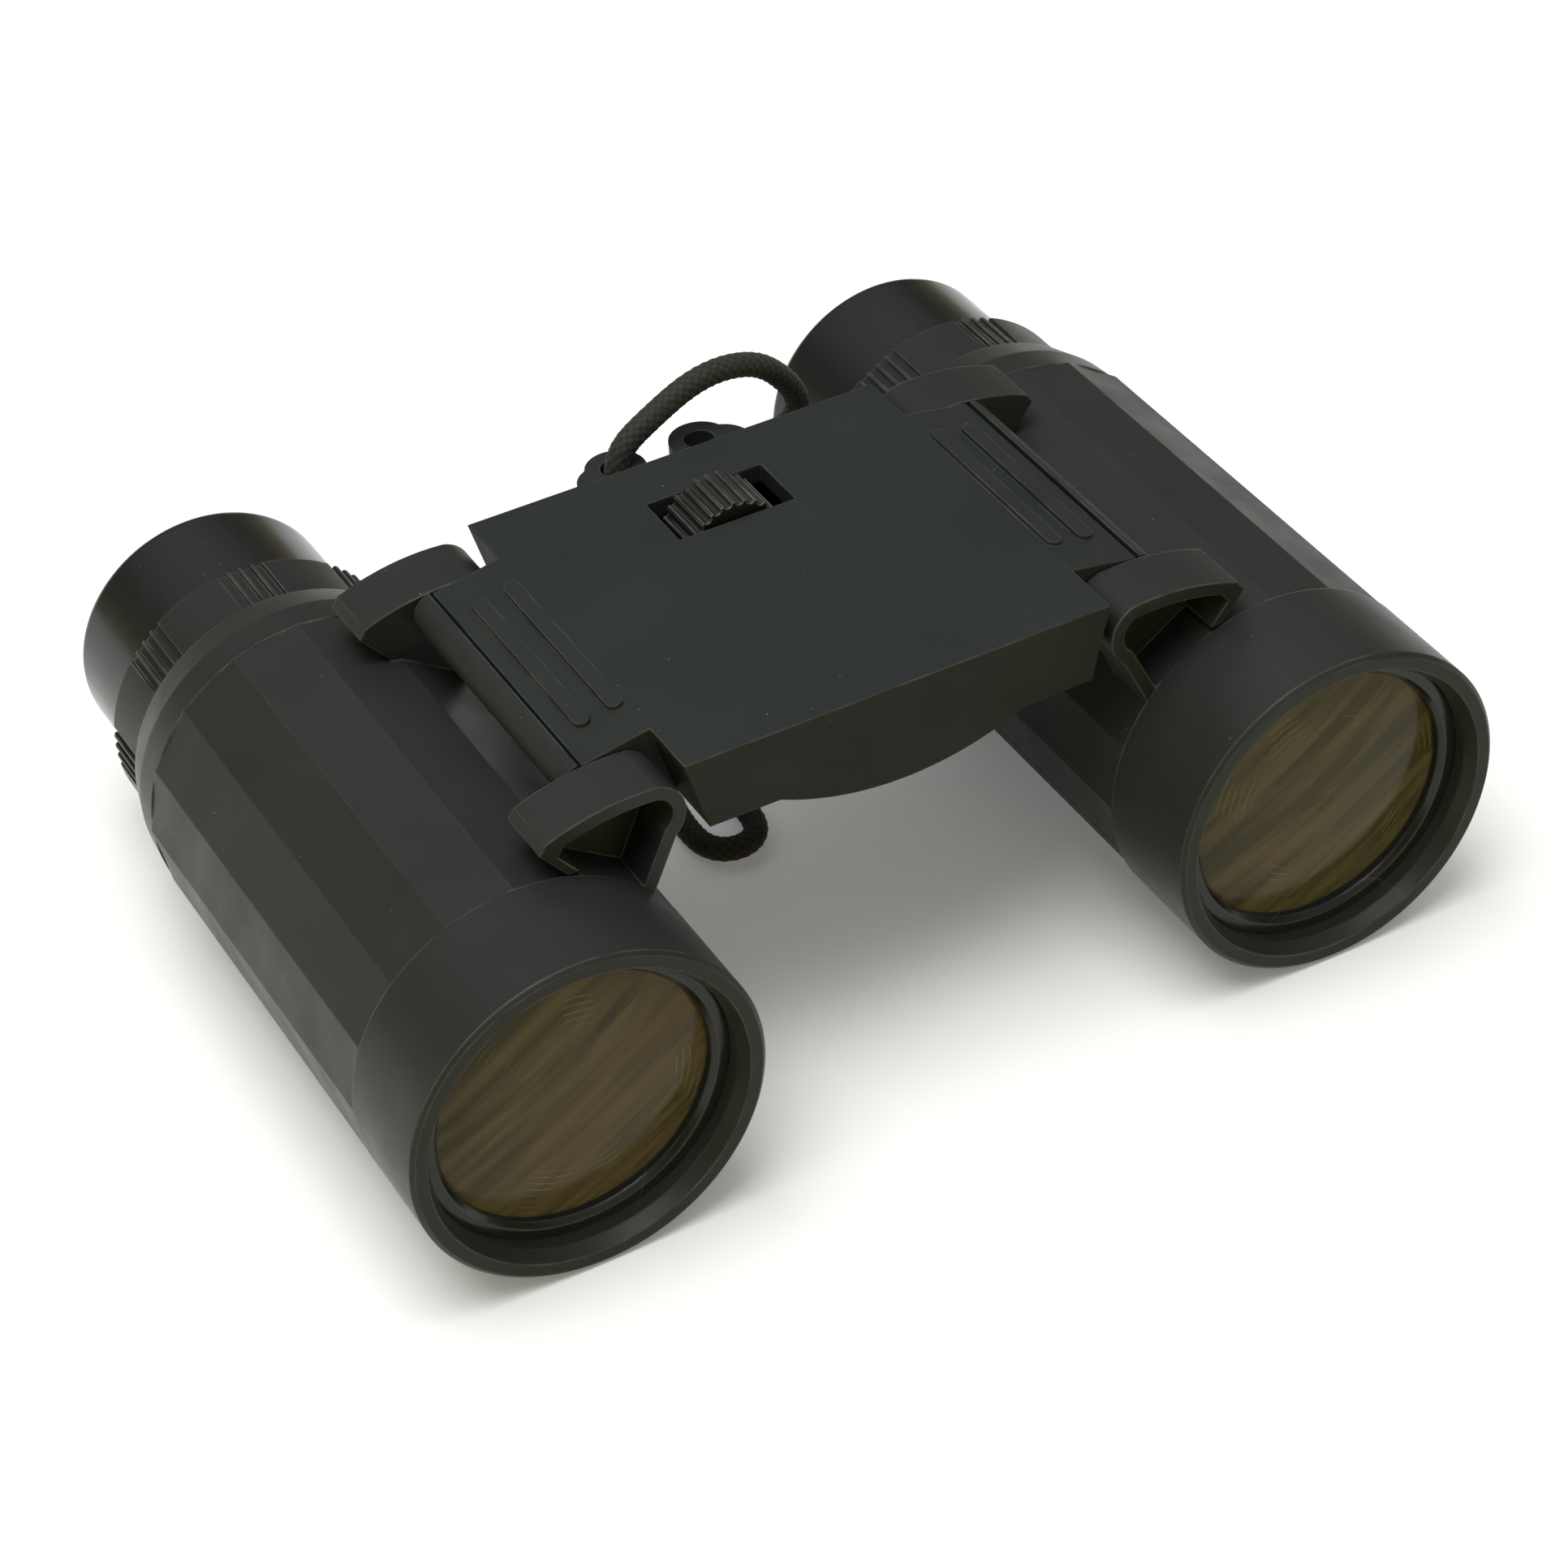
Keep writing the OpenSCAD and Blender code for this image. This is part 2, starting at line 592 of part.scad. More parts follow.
// Ear under its rounded back, grown or shrunk by a step
module ear_sheet(y0, y1, step) {
  grip = ear_r + step - ear_inset;
  intersection() {
    union() {
      prism_y(y0, y1, [
        ear_tip + [step, step], ear_tip + [step - 2, step + 3], [hinge_x, hinge_z + ear_r + skin], hinge,
        hinge + grip * low_normal, ear_root + step * low_normal,
        [barrel_x - housing_r / 2, barrel_z], [barrel_x + ear_tip_in + step, barrel_z]]);
      rod_y(hinge_x, hinge_z, y0, y1, ear_r + step);
    }
    rod_y(ear_back[0], ear_back[1], y0 - skin, y1 + skin, ear_back_r + step);
  }
}

// Free space below the thin outer end of an ear, raised by a step
module ear_under(y0, y1, step) {
  out = barrel_x + housing_r;
  low = barrel_z + housing_r - 2;
  prism_y(y0, y1, [
    [out, ear_tip[1] + ear_lift + step], [ear_tip[0] - 0.5, ear_tip[1] + ear_lift + step],
    [ear_tip[0] - ear_under_in, low + step], [out, low + step]]);
}

// One ear from its open end to the web that carries the pin
module ear(y_open, y_web, dir) {
  y0 = min(y_open, y_web);
  y1 = max(y_open, y_web);
  difference() {
    ear_sheet(y0, y1, 0);
    difference() {
      ear_sheet(dir > 0 ? y0 - skin : y0 + ear_web, dir > 0 ? y1 - ear_web : y1 + skin, -ear_t);
      ear_under(y0 - 2 * skin, y1 + 2 * skin, ear_t);
    }
    ear_under(y0 - skin, y1 + skin, 0);
    rod_y(hinge_x, hinge_z, y0 - skin, y1 + skin, pin_r + run_gap);
  }
}

function facet_points(r) =
  [for (k = [0 : facet_count - 1])
    [barrel_x + r * sin(360 * k / facet_count), barrel_z + r * cos(360 * k / facet_count)]];

module barrel_shell(side) color(plastic) on_side(side) difference() {
  union() {
    prism_y(y_cap, y_collar, facet_points(housing_r));
    rod_y(barrel_x, barrel_z, spigot_y, y_cap + skin, spigot_r);
    ear(y_bridge, ear_front_y, 1);
    ear(y_bridge_end, ear_rear_y, -1);
  }
  rod_y(barrel_x, barrel_z, spigot_y - skin, y_collar + skin, bore_r);
}

module objective_cap(side) color(plastic) on_side(side) turned([
  [housing_r, y_cap], [housing_r, y_front + rim_chamfer], [housing_r - rim_chamfer, y_front],
  [housing_r - rim_chamfer - rim_w, y_front], [retainer_r + fit_gap, y_front + recess / 2],
  [retainer_r + fit_gap, lens_y], [lens_r + fit_gap, lens_y], [lens_r + fit_gap, shoulder_y],
  [aperture_r - 0.3, shoulder_y], [aperture_r - 0.3, shoulder_y + shoulder_t],
  [spigot_r + fit_gap, shoulder_y + shoulder_t], [spigot_r + fit_gap, y_cap]]);

module objective_lens(side) color(glass) on_side(side)
  along_y(barrel_x, 0, barrel_z) rotate_extrude() intersection() {
    dome_y = lens_y + sqrt(lens_curve_r * lens_curve_r - lens_r * lens_r);
    translate([0, lens_y - 3 * skin]) square([lens_r, 3 * skin + lens_edge]);
    translate([0, dome_y]) circle(r = lens_curve_r, $fn = 720);
  }

// Height of the lens face above the lens edge, where the ring ends
lens_rise = sqrt(lens_curve_r * lens_curve_r - aperture_r * aperture_r)
  - sqrt(lens_curve_r * lens_curve_r - lens_r * lens_r);
module objective_retainer(side) color(plastic) on_side(side) turned([
  [retainer_r, lens_y], [retainer_r, lens_y - retainer_t], [aperture_r + 0.5, lens_y - retainer_t],
  [aperture_r, lens_y - retainer_t + 0.5], [aperture_r, lens_y - lens_rise - fit_gap],
  [lens_r, lens_y - fit_gap], [lens_r + fit_gap, lens_y]]);

module eyepiece_collar(side) color(plastic) on_side(side) turned([
  [guide_r, y_collar - spigot_len], [bore_r - fit_gap, y_collar - spigot_len],
  [bore_r - fit_gap, y_collar],
  [housing_r - 0.2, y_collar], [housing_r - 0.2 - collar_taper / 4, y_collar + collar_len / 2],
  [housing_r - 0.2 - collar_taper, y_ring], [neck_r, y_ring], [neck_r, lip_y],
  [neck_r + neck_lip, lip_y], [neck_r + neck_lip, lip_y + lip_len], [guide_r, lip_y + lip_len]]);

// Turn of the grip groups at rest, and the step between two grooves
function grip_turn(side) = side > 0 ? -30 : 0;
grip_step = 2 * asin((grip_w + grip_land) / 2 / ring_r);
module focus_ring(side) color(plastic) on_side(side) difference() {
  turned([
    [neck_r + run_gap, y_ring + run_gap], [ring_r - 0.2, y_ring + run_gap],
    [ring_r, y_ring + 0.3], [ring_r, y_cup - 0.4], [ring_r - 0.2, y_cup - 2 * run_gap],
    [neck_r + neck_lip + run_gap, y_cup - 2 * run_gap],
    [neck_r + neck_lip + run_gap, lip_y - run_gap], [neck_r + run_gap, lip_y - run_gap]]);
  for (g = [0 : grip_groups - 1], k = [0 : grip_grooves - 1])
    along_y(barrel_x, y_ring + 0.6, barrel_z)
      rotate(grip_turn(side) + 360 * g / grip_groups + (k - (grip_grooves - 1) / 2) * grip_step)
        translate([ring_r - grip_depth, -grip_w / 2, 0]) cube([skin, grip_w, ring_len]);
}

module eyepiece_tube(side) color(plastic) on_side(side) turned([
  [tube_r, tube_y], [tube_r, tube_end], [eye_lens_r + fit_gap, tube_end],
  [eye_lens_r + fit_gap, eye_lens_y], [eye_stop_r, eye_lens_y], [eye_stop_r, tube_y]]);

module eyecup(side) color(gloss) on_side(side) difference() {
  union() {
    turned([
      [tube_r + fit_gap / 2, y_cup], [cup_r, y_cup], [cup_r, y_end - cup_round],
      [cup_r - cup_round, y_end], [eye_stop_r + 1.6, y_end], [eye_stop_r - 0.1, web_y],
      [eye_stop_r - 0.1, tube_end], [tube_r + fit_gap / 2, tube_end]]);
    along_y(barrel_x, y_end - cup_round, barrel_z) rotate_extrude()
      translate([cup_r - cup_round, 0]) intersection() {
        circle(r = cup_round, $fn = 48);
        square(cup_round);
      }
  }
}

module eye_lens(side) color(glass) on_side(side)
  along_y(barrel_x, 0, barrel_z) rotate_extrude() difference() {
    hollow_r = eye_lens_r - eye_lap / 2;
    curve_r = (hollow_r * hollow_r + eye_sag * eye_sag) / (2 * eye_sag);
    translate([0, eye_lens_y]) square([eye_lens_r, eye_lens_edge]);
    translate([0, eye_lens_y + eye_sag - curve_r]) circle(r = curve_r, $fn = 720);
    translate([0, eye_lens_y + eye_lens_edge - eye_sag + curve_r]) circle(r = curve_r, $fn = 720);
  }

module eye_lens_retainer(side) color(plastic) on_side(side) turned([
  [eye_lens_r, eye_lens_y + eye_lens_edge], [eye_lens_r, eye_ring_end],
  [eye_stop_r - 0.2, eye_ring_end], [eye_stop_r - 0.6, eye_lens_y + eye_lens_edge]]);

module strap_knot() color(braid)
  translate([tied_x, lug_y, knot_z - knot_h]) rotate_extrude() polygon([
    [0, 0], [knot_r - 0.8, 0], [knot_r, 1], [knot_r, knot_h - 1], [knot_r - 0.8, knot_h],
    [0, knot_h]]);

module neck_cord_arch() color(braid) tube(arch_route, cord_d / 2, cord_sides, [1, 0, 0]);
module neck_cord_return() color(braid) tube(return_route, cord_d / 2, cord_sides, [1, 0, 0]);
module neck_cord_coil() color(braid) tube(coil_route, cord_d / 2, coil_sides, [0, 0, 1]);

bridge_top_cover();
bridge_bottom_cover();
bridge_screws();
focus_wheel();
wheel_axle();
hinge_pin(-1);  // left_hinge_pin
hinge_pin(1);  // right_hinge_pin
barrel_shell(-1);  // left_barrel_shell
barrel_shell(1);  // right_barrel_shell
objective_cap(-1);  // left_objective_cap
objective_cap(1);  // right_objective_cap
objective_lens(-1);  // left_objective_lens
objective_lens(1);  // right_objective_lens
objective_retainer(-1);  // left_objective_retainer
objective_retainer(1);  // right_objective_retainer
eyepiece_collar(-1);  // left_eyepiece_collar
eyepiece_collar(1);  // right_eyepiece_collar
focus_ring(-1);  // left_focus_ring
focus_ring(1);  // right_focus_ring
eyepiece_tube(-1);  // left_eyepiece_tube
eyepiece_tube(1);  // right_eyepiece_tube
eyecup(-1);  // left_eyecup
eyecup(1);  // right_eyecup
eye_lens(-1);  // left_eye_lens
eye_lens(1);  // right_eye_lens
eye_lens_retainer(-1);  // left_eye_lens_retainer
eye_lens_retainer(1);  // right_eye_lens_retainer
strap_knot();
neck_cord_arch();
neck_cord_coil();
neck_cord_return();
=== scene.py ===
"""Looks of the folding toy binoculars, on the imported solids.

Lengths are metres, or millimetres where a name ends in _MM.
"""

import math

import bpy
import numpy as np
from mathutils import Matrix, Vector


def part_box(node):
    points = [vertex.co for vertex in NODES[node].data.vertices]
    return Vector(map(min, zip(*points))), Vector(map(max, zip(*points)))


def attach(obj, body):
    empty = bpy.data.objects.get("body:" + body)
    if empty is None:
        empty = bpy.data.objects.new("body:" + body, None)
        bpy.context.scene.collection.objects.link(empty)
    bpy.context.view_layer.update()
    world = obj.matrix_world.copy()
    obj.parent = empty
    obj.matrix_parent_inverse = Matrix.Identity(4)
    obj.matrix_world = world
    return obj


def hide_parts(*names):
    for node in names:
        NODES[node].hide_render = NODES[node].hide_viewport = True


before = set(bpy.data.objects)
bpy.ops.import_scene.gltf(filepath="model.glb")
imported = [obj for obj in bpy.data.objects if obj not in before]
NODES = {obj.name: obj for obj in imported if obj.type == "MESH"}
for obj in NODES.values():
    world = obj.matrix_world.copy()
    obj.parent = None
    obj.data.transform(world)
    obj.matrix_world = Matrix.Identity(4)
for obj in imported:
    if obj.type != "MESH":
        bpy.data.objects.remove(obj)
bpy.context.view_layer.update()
MM = 0.001


# Camera at the photograph's place: its axes, its place, and its lens in millimetres
CAMERA_RIGHT = (0.87465, -0.48184, -0.05315)
CAMERA_UP = (0.33564, 0.52282, 0.78359)
CAMERA_BACK = (-0.34977, -0.70320, 0.61901)
CAMERA_PLACE = (-0.14784, -0.30342, 0.27463)
CAMERA_LENS_MM = 102.2
CAMERA_SENSOR_MM = 36.0
CAMERA_NEAR = 0.01


def make_camera():
    """Camera with a straight lens and no shift."""
    data = bpy.data.cameras.new("photo_camera")
    data.lens = CAMERA_LENS_MM
    data.sensor_width = CAMERA_SENSOR_MM
    data.clip_start = CAMERA_NEAR
    camera = bpy.data.objects.new("photo_camera", data)
    columns = (CAMERA_RIGHT, CAMERA_UP, CAMERA_BACK, CAMERA_PLACE)
    camera.matrix_world = Matrix(
        [[column[i] for column in columns] for i in range(3)] + [[0, 0, 0, 1]]
    )
    bpy.context.scene.collection.objects.link(camera)
    bpy.context.scene.camera = camera


make_camera()

# The cord's route, in millimetres, as the solids have it
CORD_D_MM = 2.5
LIE_MM = CORD_D_MM / 2 + 0.05
LUG_MM = (-4.0, 17.0, 37.5)
KNOT_TOP_MM = 35.5
KNOT_LOW_MM = 31.5
Y_END_MM = 42.5
NEAR_RUN_MM = Y_END_MM + 5.6
FAR_RUN_MM = Y_END_MM + 10.2
COIL_R_MM = 10.8
COIL_MID_MM = (38.5 + 13.9, Y_END_MM + 8.4 + COIL_R_MM)
COIL_PITCH_MM = CORD_D_MM + 0.5
COIL_TURNS = 3.5
COIL_STEPS = 24
COIL_CLIMB = 0.5
COIL_LEFT_MM = COIL_MID_MM[0] - COIL_R_MM
COIL_RIGHT_MM = COIL_MID_MM[0] + COIL_R_MM
COIL_JOIN_MM = COIL_MID_MM[1] - CORD_D_MM


def near_lug(dx, dy, dz):
    """A point of the route, counted from the lug."""
    return (LUG_MM[0] + dx, LUG_MM[1] + dy, LUG_MM[2] + dz)


def falling(x, dy, share):
    """A point on the way down, at a share of the lug's height over the table."""
    return (x, LUG_MM[1] + dy, LIE_MM + share * (LUG_MM[2] - LIE_MM))


def lying(x, y, lift=0.0):
    """A point on the table, or lifted a little from it."""
    return (x, y, LIE_MM + lift)


def arch_route():
    """From the lug over the arch, down to the table and on to the coil."""
    left, run = COIL_LEFT_MM, FAR_RUN_MM
    return [
        (LUG_MM[0], LUG_MM[1], KNOT_TOP_MM), near_lug(0, 0, -0.5),
        near_lug(0.4, 0.2, 1.1), near_lug(1.7, 0.6, 2.1), near_lug(3.8, 1, 3),
        near_lug(6.2, 1.5, 3.9), near_lug(9, 2, 4.8), near_lug(12, 2.5, 5.1),
        near_lug(15, 3, 4.6), near_lug(17.8, 3.5, 3.3), near_lug(20.2, 4, 0.8),
        near_lug(21.8, 4.4, -1.7), near_lug(22.3, 4.9, -4.1), near_lug(21.3, 5.6, -6.1),
        near_lug(19, 6.4, -7.2), near_lug(16, 7.4, -7.9), near_lug(12.5, 8.6, -9.6),
        falling(4.8, 10, 0.64), falling(1.8, 11.3, 0.503), falling(0.3, 12.3, 0.323),
        falling(-0.5, 13.2, 0.157), falling(-1, 14.6, 0.044),
        lying(-1.2, Y_END_MM - 7.9, 0.1), lying(-1.4, Y_END_MM - 2.5),
        lying(-0.8, Y_END_MM + 3.5), lying(1.4, Y_END_MM + 7.4), lying(5.2, Y_END_MM + 9.6),
        lying(10, run), lying(18, run),
        lying(27, run), lying(left - 5, run), lying(left - 3.09, run + 0.38),
        lying(left - 1.46, run + 1.46), lying(left - 0.38, run + 3.09), lying(left, run + 5),
        lying(left, COIL_JOIN_MM),
    ]


def coil_route():
    """The winding spirals in, climbs one layer and spirals out again."""
    route = []
    for i in range(round(COIL_TURNS * COIL_STEPS) + 1):
        t = i / COIL_STEPS
        radius = COIL_R_MM - COIL_PITCH_MM * min(t, COIL_TURNS - t)
        climb = max(0.0, min(1.0, (t - COIL_TURNS / 2) / COIL_CLIMB + 0.5))
        a = 2 * math.pi * t
        x = COIL_MID_MM[0] - radius * math.cos(a)
        y = COIL_MID_MM[1] + radius * math.sin(a)
        route.append((x, y, LIE_MM + COIL_PITCH_MM * climb))
    return route


def return_route():
    """From the knot under the bridge and back to the coil."""
    right, run = COIL_RIGHT_MM, NEAR_RUN_MM
    lug_y = LUG_MM[1]
    return [
        (LUG_MM[0], lug_y, KNOT_LOW_MM), (LUG_MM[0], lug_y, KNOT_LOW_MM - 1.6),
        near_lug(0.4, 1.2, -9.7), falling(-2.6, 3.3, 0.644), falling(-1.6, 5.2, 0.53),
        falling(-1, 6.2, 0.378), falling(-1, 6.6, 0.227), falling(-1.4, 6.2, 0.097),
        falling(-2.2, 4, 0.019), lying(-3.2, lug_y), lying(-4.2, lug_y - 6), lying(-4.75, 7),
        lying(-4.8, 3.7), lying(-4.21, 1.88), lying(-2.66, 0.75), lying(-0.74, 0.75),
        lying(0.81, 1.88), lying(1.4, 3.7), lying(1.5, 7), lying(1.9, lug_y - 6),
        lying(2.4, lug_y + 1), lying(2.7, lug_y + 9), lying(2.9, Y_END_MM - 8.5),
        lying(3.1, run - 6), lying(3.56, run - 3.7), lying(4.86, run - 1.76),
        lying(6.8, run - 0.46), lying(9.1, run), lying(18, run), lying(30, run), lying(42, run),
        lying(right - 5, run, 0.1), lying(right - 3.09, run + 0.38, 0.4),
        lying(right - 1.46, run + 1.46, 0.9), lying(right - 0.38, run + 3.09, 1.5),
        lying(right, run + 5, 2.1), lying(right, run + 8, 2.85),
        lying(right, COIL_JOIN_MM, COIL_PITCH_MM),
    ]


def even_line(line, step):
    """The same line, with its points at even steps."""
    s = np.concatenate([[0], np.cumsum(np.linalg.norm(np.diff(line, axis=0), axis=1))])
    even = np.linspace(0, s[-1], int(round(s[-1] / step)) + 1)
    return np.stack([np.interp(even, s, line[:, a]) for a in range(3)], 1)


def smooth_line(points, step):
    """Points at even steps along a smooth curve through the given points."""
    p = np.array(points, float)
    t = np.concatenate([[0], np.cumsum(np.linalg.norm(np.diff(p, axis=0), axis=1))])
    slope = np.zeros_like(p)
    slope[1:-1] = (p[2:] - p[:-2]) / (t[2:] - t[:-2])[:, None]
    slope[0] = (p[1] - p[0]) / (t[1] - t[0])
    slope[-1] = (p[-1] - p[-2]) / (t[-1] - t[-2])
    fine = np.linspace(0, t[-1], int(t[-1] / (step * 0.3)))
    k = np.clip(np.searchsorted(t, fine, side="right") - 1, 0, len(t) - 2)
    h = (t[k + 1] - t[k])[:, None]
    u = (fine - t[k])[:, None] / h
    line = (
        (2 * u**3 - 3 * u**2 + 1) * p[k]
        + (u**3 - 2 * u**2 + u) * h * slope[k]
        + (3 * u**2 - 2 * u**3) * p[k + 1]
        + (u**3 - u**2) * h * slope[k + 1]
    )
    return even_line(line, step)


def line_length(line):
    return float(np.linalg.norm(np.diff(line, axis=0), axis=1).sum())


def line_frames(line, start):
    """Two directions across the line at each point, carried along without twist."""
    tangents = np.gradient(line, axis=0)
    tangents /= np.linalg.norm(tangents, axis=1)[:, None]
    across = np.zeros_like(line)
    u = np.array(start, float)
    for i, t in enumerate(tangents):
        u = u - (u @ t) * t
        u /= np.linalg.norm(u)
        across[i] = u
    return across, np.cross(tangents, across)


def mesh_object(name, verts, faces, smooth=True):
    mesh = bpy.data.meshes.new(name)
    mesh.from_pydata(np.asarray(verts).tolist(), [], [list(map(int, f)) for f in faces])
    mesh.update()
    mesh.polygons.foreach_set("use_smooth", [smooth] * len(mesh.polygons))
    obj = bpy.data.objects.new(name, mesh)
    bpy.context.scene.collection.objects.link(obj)
    return obj


# Strands each way in the braid, length of one crossing and depth of the grooves
BRAID_STRANDS = 8
BRAID_CELL_MM = 0.95
BRAID_DEPTH_MM = 0.2


def braid_height(theta, s):
    """Height of the upper strand at an angle and a length, from about 0 in a groove to 1."""
    a = BRAID_STRANDS * theta / (2 * math.pi) + s / BRAID_CELL_MM
    b = BRAID_STRANDS * theta / (2 * math.pi) - s / BRAID_CELL_MM
    cell_a, cell_b = np.floor(a), np.floor(b)
    fa, fb = a - cell_a - 0.5, b - cell_b - 0.5
    over = np.where((cell_a + cell_b) % 2 == 0, 1.0, -1.0)
    high_a = 0.5 * over * np.cos(np.pi * fb) + 0.5 * np.sqrt(np.clip(1 - 4 * fa**2, 0, 1))
    high_b = -0.5 * over * np.cos(np.pi * fa) + 0.5 * np.sqrt(np.clip(1 - 4 * fb**2, 0, 1))
    return np.clip(np.maximum(high_a, high_b), 0, 1)


def braided_tube(line, radius, sides, start):
    """Vertices, faces and strand heights of a tube along the line, with a braided skin."""
    across, up = line_frames(line, start)
    count = len(line)
    step = line_length(line) / (count - 1)
    theta = 2 * math.pi * np.arange(sides) / sides
    s = (np.arange(count) * step)[:, None]
    high = braid_height(theta[None, :], s)
    r = (radius - BRAID_DEPTH_MM * (1 - high))[:, :, None]
    ring = np.cos(theta)[None, :, None] * across[:, None, :]
    ring = ring + np.sin(theta)[None, :, None] * up[:, None, :]
    verts = (line[:, None, :] + r * ring).reshape(-1, 3)
    i = np.arange(count - 1)[:, None] * sides
    j = np.arange(sides)[None, :]
    k = (j + 1) % sides
    quads = np.stack([i + j, i + k, i + sides + k, i + sides + j], -1).reshape(-1, 4)
    faces = quads.tolist()
    faces.append(list(range(sides - 1, -1, -1)))
    faces.append([(count - 1) * sides + x for x in range(sides)])
    return verts, faces, high.reshape(-1)


def strand_object(name, verts, faces, heights):
    """Mesh that keeps the height of the upper strand at each point, for its material's painted groove
    shade.
    """
    obj = mesh_object(name, verts * MM, faces)
    layer = obj.data.attributes.new("strand", "FLOAT", "POINT")
    layer.data.foreach_set("value", heights.astype(np.float32))
    return obj


# Step along the cord, sides of its tube, and rounds of easing over its kinks
CORD_STEP_MM = 0.16
CORD_SIDES = 40
CORD_EASE = 110


def cord_line():
    """The route from the lug round to the knot, its kinks eased out as a limp cord's are."""
    points = arch_route() + coil_route() + return_route()[::-1]
    line = smooth_line(points, CORD_STEP_MM)
    line[:, 2] = np.maximum(line[:, 2], LIE_MM)
    for _ in range(CORD_EASE):
        line[1:-1] = (line[:-2] + 2 * line[1:-1] + line[2:]) / 4
    return even_line(line, CORD_STEP_MM)


def make_cord():
    """The cord as one braided tube, with its line."""
    line = cord_line()
    obj = strand_object("neck_cord", *braided_tube(line, CORD_D_MM / 2, CORD_SIDES, (1, 0, 0)))
    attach(obj, "bridge")
    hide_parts("neck_cord_arch", "neck_cord_coil", "neck_cord_return")
    return obj, line


# Knot: turns of the wrap, its radius and height, how its ends tuck in, and the sizes of its tubes
KNOT_TURNS = 2.25
KNOT_POINTS = 120
KNOT_WRAP_R_MM = 1.28
KNOT_TUCK_MM = 0.25
KNOT_TUCK_FROM = 0.95
KNOT_TUCK_OVER = 0.2
KNOT_WRAP_LOW_MM = 0.95
KNOT_WRAP_RISE_MM = 2.1
KNOT_TUBE_R_MM = 0.98
KNOT_TUBE_SIDES = 28
CORE_PAST_MM = 0.2
CORE_POINTS = 28
CORE_R_MM = 1.22
CORE_SIDES = 32


def make_knot():
    """Wrapped knot under the lug: two turns of the cord round its own core."""
    turns = np.linspace(0, KNOT_TURNS, KNOT_POINTS)
    a = 2 * math.pi * turns
    past = np.clip(np.abs(turns - KNOT_TURNS / 2) - KNOT_TUCK_FROM, 0, 1)
    grow = KNOT_WRAP_R_MM - KNOT_TUCK_MM * past / KNOT_TUCK_OVER
    z = KNOT_LOW_MM + KNOT_WRAP_LOW_MM + KNOT_WRAP_RISE_MM * turns / turns[-1]
    wrap = np.stack([LUG_MM[0] + grow * np.cos(a), LUG_MM[1] + grow * np.sin(a), z], 1)
    core_z = np.linspace(KNOT_LOW_MM - CORE_PAST_MM, KNOT_TOP_MM + CORE_PAST_MM, CORE_POINTS)
    core = np.stack([np.full(CORE_POINTS, LUG_MM[0]), np.full(CORE_POINTS, LUG_MM[1]), core_z], 1)
    wrap_line = smooth_line(wrap, CORD_STEP_MM)
    verts_a, faces_a, high_a = braided_tube(wrap_line, KNOT_TUBE_R_MM, KNOT_TUBE_SIDES, (0, 0, 1))
    verts_b, faces_b, high_b = braided_tube(core, CORE_R_MM, CORE_SIDES, (1, 0, 0))
    shift = len(verts_a)
    faces = faces_a + [[v + shift for v in f] for f in faces_b]
    verts = np.concatenate([verts_a, verts_b])
    obj = strand_object("cord_knot", verts, faces, np.concatenate([high_a, high_b]))
    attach(obj, "bridge")
    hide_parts("strap_knot")
    return obj


# Tie on the coil: gaps to the winding, height over the table, corners, width and thickness, and
# the way from the coil's middle to it
TIE_GAP_IN_MM = 0.25
TIE_GAP_OUT_MM = 0.12
TIE_LOW_MM = 0.02
TIE_LEAST_Z_MM = 0.01
TIE_CORNER_MM = 1.1
TIE_CORNER_STEPS = 6
TIE_HALF_MM = 1.1
TIE_FACE_SHARE = 0.9
TIE_THICK_MM = 0.16
TIE_WAY = np.array([0.45, 0.893])
# Twisted end of the tie: where it starts, its length and turns, its lift and bow, and its section
TWIST_STEPS = 18
TWIST_ANGLE = 3.2 * math.pi
TWIST_FROM_MM = 2.2
TWIST_LENGTH_MM = 3.4
TWIST_LIFT_MM = 0.35
TWIST_BOW_MM = 0.25
TWIST_R_MM = 0.55
TWIST_THIN = 0.35
TWIST_PRESS = 0.6


def tie_point(radial, beside, z):
    """A point at a distance from the coil's middle along the tie's way, beside it and at a height."""
    side = np.array([TIE_WAY[1], -TIE_WAY[0]])
    place = np.array(COIL_MID_MM) + TIE_WAY * radial + side * beside
    return (place[0], place[1], z)


def tie_loop(inner, outer, low, high):
    """Rounded loop round the winding, as distances from the coil's middle and heights."""
    corner = TIE_CORNER_MM
    loop = []
    for middle, z, first in (
        (outer - corner, low + corner, -90),
        (outer - corner, high - corner, 0),
        (inner + corner, high - corner, 90),
        (inner + corner, low + corner, 180),
    ):
        for k in range(TIE_CORNER_STEPS + 1):
            a = math.radians(first + 90 / TIE_CORNER_STEPS * k)
            loop.append((middle + corner * math.cos(a), z + corner * math.sin(a)))
    return loop


def tie_band(loop, middle):
    """Vertices and faces of the flat band, with four points across it."""
    verts, faces = [], []
    half, face = TIE_HALF_MM, TIE_HALF_MM * TIE_FACE_SHARE
    for r, z in loop:
        out = np.array([r - middle[0], z - middle[1]])
        out /= np.linalg.norm(out)
        for beside, lift in ((-half, 0), (-face, TIE_THICK_MM), (face, TIE_THICK_MM), (half, 0)):
            height = max(TIE_LEAST_Z_MM, z + out[1] * lift)
            verts.append(tie_point(r + out[0] * lift, beside, height))
    count = len(loop)
    for i in range(count):
        n = (i + 1) % count
        for k in range(4):
            j = (k + 1) % 4
            faces.append([4 * i + k, 4 * i + j, 4 * n + j, 4 * n + k])
    return verts, faces


